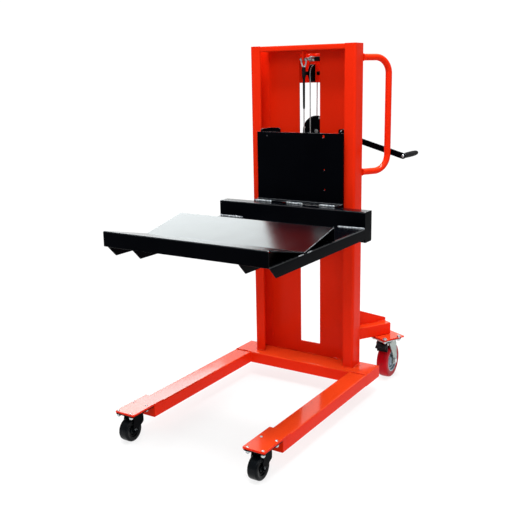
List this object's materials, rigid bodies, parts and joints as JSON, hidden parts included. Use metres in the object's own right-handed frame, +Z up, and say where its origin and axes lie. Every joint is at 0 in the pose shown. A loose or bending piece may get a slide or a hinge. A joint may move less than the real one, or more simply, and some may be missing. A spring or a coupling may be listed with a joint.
{
  "type": "manual winch stacker",
  "caption": "Hand-winch lift stacker: channel mast on a straddle base with casters, carriage raised by cable, and a shallow V cradle on fork arms for rolls or drums.",
  "frame": {"origin": "middle of the whole part's footprint, on the floor", "axes": "+Z up; -Y towards the load side, where the legs and cradle point; +Y towards the operator; +X towards the crank grip"},
  "size_m": [0.716, 1.2094, 1.418],
  "materials": {
    "red_paint": "glossy orange-red enamel",
    "black_powder_coat": "satin black powder coat",
    "zinc_plate": "bright zinc plate",
    "cable_steel": "galvanised wire rope",
    "black_grip": "matte black rubber",
    "red_caster_tyre": "satin dark red polyurethane",
    "black_caster_tyre": "satin black rubber"
  },
  "bodies": {
    "chassis": {"base_cross_tube": "red_paint", "cable_boot": "black_grip", "cable_dead_run": "cable_steel", "cable_fixed_run": "cable_steel", "cable_live_run": "cable_steel", "cable_shackle": "zinc_plate", "front_caster_plate_left": "black_powder_coat", "front_caster_plate_right": "black_powder_coat", "leg_left": "red_paint", "leg_plate_left": "red_paint", "leg_plate_right": "red_paint", "leg_right": "red_paint", "mast_back_plate": "red_paint", "mast_column_left": "red_paint", "mast_column_right": "red_paint", "mast_top_beam": "red_paint", "pulley_box": "red_paint", "push_handle_left": "red_paint", "push_handle_right": "red_paint", "rear_caster_plate_left": "zinc_plate", "rear_caster_plate_right": "zinc_plate", "rear_plate_left": "red_paint", "rear_plate_right": "red_paint", "rear_rail_left": "red_paint", "rear_rail_right": "red_paint", "top_pulley_axle": "zinc_plate", "winch_frame": "black_powder_coat", "winch_shelf": "red_paint"},
    "carriage": {"carriage_panel": "black_powder_coat", "carriage_beam": "black_powder_coat", "carriage_side_left": "black_powder_coat", "carriage_side_right": "black_powder_coat", "fork_arm_left": "black_powder_coat", "fork_arm_right": "black_powder_coat", "cradle_platform": "black_powder_coat", "pulley_bracket": "black_powder_coat", "cable_lower_bend": "cable_steel"},
    "upper_roller_left": {"upper_roller_left": "zinc_plate"},
    "upper_roller_right": {"upper_roller_right": "zinc_plate"},
    "lower_roller_left": {"lower_roller_left": "zinc_plate"},
    "lower_roller_right": {"lower_roller_right": "zinc_plate"},
    "moving_pulley": {"moving_pulley": "black_powder_coat"},
    "top_pulley": {"top_pulley": "black_powder_coat"},
    "drum": {"winch_drum": "zinc_plate", "drum_gear": "black_powder_coat"},
    "crank": {"pinion_shaft": "zinc_plate", "ratchet_wheel": "zinc_plate", "crank_arm": "black_powder_coat"},
    "grip": {"crank_grip": "black_grip"},
    "pawl": {"winch_pawl": "zinc_plate"},
    "front_caster_left_fork": {"front_caster_left_fork": "black_powder_coat"},
    "front_caster_left_wheel": {"front_caster_left_wheel": "black_caster_tyre"},
    "rear_caster_left_fork": {"rear_caster_left_fork": "zinc_plate"},
    "rear_caster_left_wheel": {"rear_caster_left_wheel": "red_caster_tyre"},
    "rear_brake_left": {"rear_brake_left": "black_powder_coat"},
    "front_caster_right_fork": {"front_caster_right_fork": "black_powder_coat"},
    "front_caster_right_wheel": {"front_caster_right_wheel": "black_caster_tyre"},
    "rear_caster_right_fork": {"rear_caster_right_fork": "zinc_plate"},
    "rear_caster_right_wheel": {"rear_caster_right_wheel": "red_caster_tyre"},
    "rear_brake_right": {"rear_brake_right": "black_powder_coat"}
  },
  "joints": [
    {"name": "carriage_lift", "type": "slide", "parent": "chassis", "child": "carriage", "axis": [0, 0, 1], "range_m": [-0.548, 0.284], "deforming": ["cable_live_run", "cable_dead_run"]},
    {"name": "upper_roller_left_spin", "type": "hinge", "parent": "carriage", "child": "upper_roller_left", "pos_m": [-0.21564, 0.27335, 1.05], "axis": [1, 0, 0], "continuous": true},
    {"name": "upper_roller_right_spin", "type": "hinge", "parent": "carriage", "child": "upper_roller_right", "pos_m": [0.20736, 0.27335, 1.05], "axis": [1, 0, 0], "continuous": true},
    {"name": "lower_roller_left_spin", "type": "hinge", "parent": "carriage", "child": "lower_roller_left", "pos_m": [-0.21564, 0.27335, 0.72], "axis": [1, 0, 0], "continuous": true},
    {"name": "lower_roller_right_spin", "type": "hinge", "parent": "carriage", "child": "lower_roller_right", "pos_m": [0.20736, 0.27335, 0.72], "axis": [1, 0, 0], "continuous": true},
    {"name": "moving_pulley_spin", "type": "hinge", "parent": "carriage", "child": "moving_pulley", "pos_m": [-0.00414, 0.28535, 0.84], "axis": [1, 0, 0], "continuous": true},
    {"name": "top_pulley_spin", "type": "hinge", "parent": "chassis", "child": "top_pulley", "pos_m": [-0.00414, 0.34235, 1.308], "axis": [1, 0, 0], "continuous": true},
    {"name": "drum_spin", "type": "hinge", "parent": "chassis", "child": "drum", "pos_m": [0.01886, 0.36635, 1.076], "axis": [0, 1, 0], "continuous": true},
    {"name": "crank_spin", "type": "hinge", "parent": "chassis", "child": "crank", "pos_m": [0.09386, 0.37535, 1.0482], "axis": [0, 1, 0], "continuous": true},
    {"name": "grip_spin", "type": "hinge", "parent": "crank", "child": "grip", "pos_m": [0.34586, 0.52835, 0.975], "axis": [0, 1, 0], "continuous": true},
    {"name": "pawl_lift", "type": "hinge", "parent": "chassis", "child": "pawl", "pos_m": [0.04386, 0.42235, 1.0853], "axis": [0, -1, 0], "range_deg": [0, 20]},
    {"name": "front_caster_left_swivel", "type": "hinge", "parent": "chassis", "child": "front_caster_left_fork", "pos_m": [-0.28414, -0.53965, 0.09], "axis": [0, 0, 1], "continuous": true},
    {"name": "front_caster_left_spin", "type": "hinge", "parent": "front_caster_left_fork", "child": "front_caster_left_wheel", "pos_m": [-0.28414, -0.56165, 0.043], "axis": [1, 0, 0], "continuous": true},
    {"name": "rear_caster_left_swivel", "type": "hinge", "parent": "chassis", "child": "rear_caster_left_fork", "pos_m": [-0.29014, 0.47135, 0.172], "axis": [0, 0, 1], "continuous": true},
    {"name": "rear_caster_left_spin", "type": "hinge", "parent": "rear_caster_left_fork", "child": "rear_caster_left_wheel", "pos_m": [-0.28784, 0.49323, 0.076], "axis": [0.9945, -0.1045, 0], "continuous": true},
    {"name": "rear_brake_left_press", "type": "hinge", "parent": "rear_caster_left_fork", "child": "rear_brake_left", "pos_m": [-0.29453, 0.42958, 0.1677], "axis": [0.9945, -0.1045, 0], "range_deg": [0, 7]},
    {"name": "front_caster_right_swivel", "type": "hinge", "parent": "chassis", "child": "front_caster_right_fork", "pos_m": [0.27586, -0.53965, 0.09], "axis": [0, 0, 1], "continuous": true},
    {"name": "front_caster_right_spin", "type": "hinge", "parent": "front_caster_right_fork", "child": "front_caster_right_wheel", "pos_m": [0.27586, -0.56165, 0.043], "axis": [1, 0, 0], "continuous": true},
    {"name": "rear_caster_right_swivel", "type": "hinge", "parent": "chassis", "child": "rear_caster_right_fork", "pos_m": [0.28186, 0.47135, 0.172], "axis": [0, 0, 1], "continuous": true},
    {"name": "rear_caster_right_spin", "type": "hinge", "parent": "rear_caster_right_fork", "child": "rear_caster_right_wheel", "pos_m": [0.28148, 0.49335, 0.076], "axis": [0.9998, 0.0175, 0], "continuous": true},
    {"name": "rear_brake_right_press", "type": "hinge", "parent": "rear_caster_right_fork", "child": "rear_brake_right", "pos_m": [0.2826, 0.42936, 0.1677], "axis": [0.9998, 0.0175, 0], "range_deg": [0, 7]}
  ],
  "couplings": [
    {"joint": "upper_roller_left_spin", "follows": "carriage_lift", "rad_per_m": 32.258},
    {"joint": "upper_roller_right_spin", "follows": "carriage_lift", "rad_per_m": 32.258},
    {"joint": "lower_roller_left_spin", "follows": "carriage_lift", "rad_per_m": -32.258},
    {"joint": "lower_roller_right_spin", "follows": "carriage_lift", "rad_per_m": -32.258},
    {"joint": "moving_pulley_spin", "follows": "carriage_lift", "rad_per_m": 38.462},
    {"joint": "top_pulley_spin", "follows": "carriage_lift", "rad_per_m": -66.667},
    {"joint": "drum_spin", "follows": "carriage_lift", "rad_per_m": -86.957},
    {"joint": "crank_spin", "follows": "carriage_lift", "rad_per_m": 260.87}
  ]
}
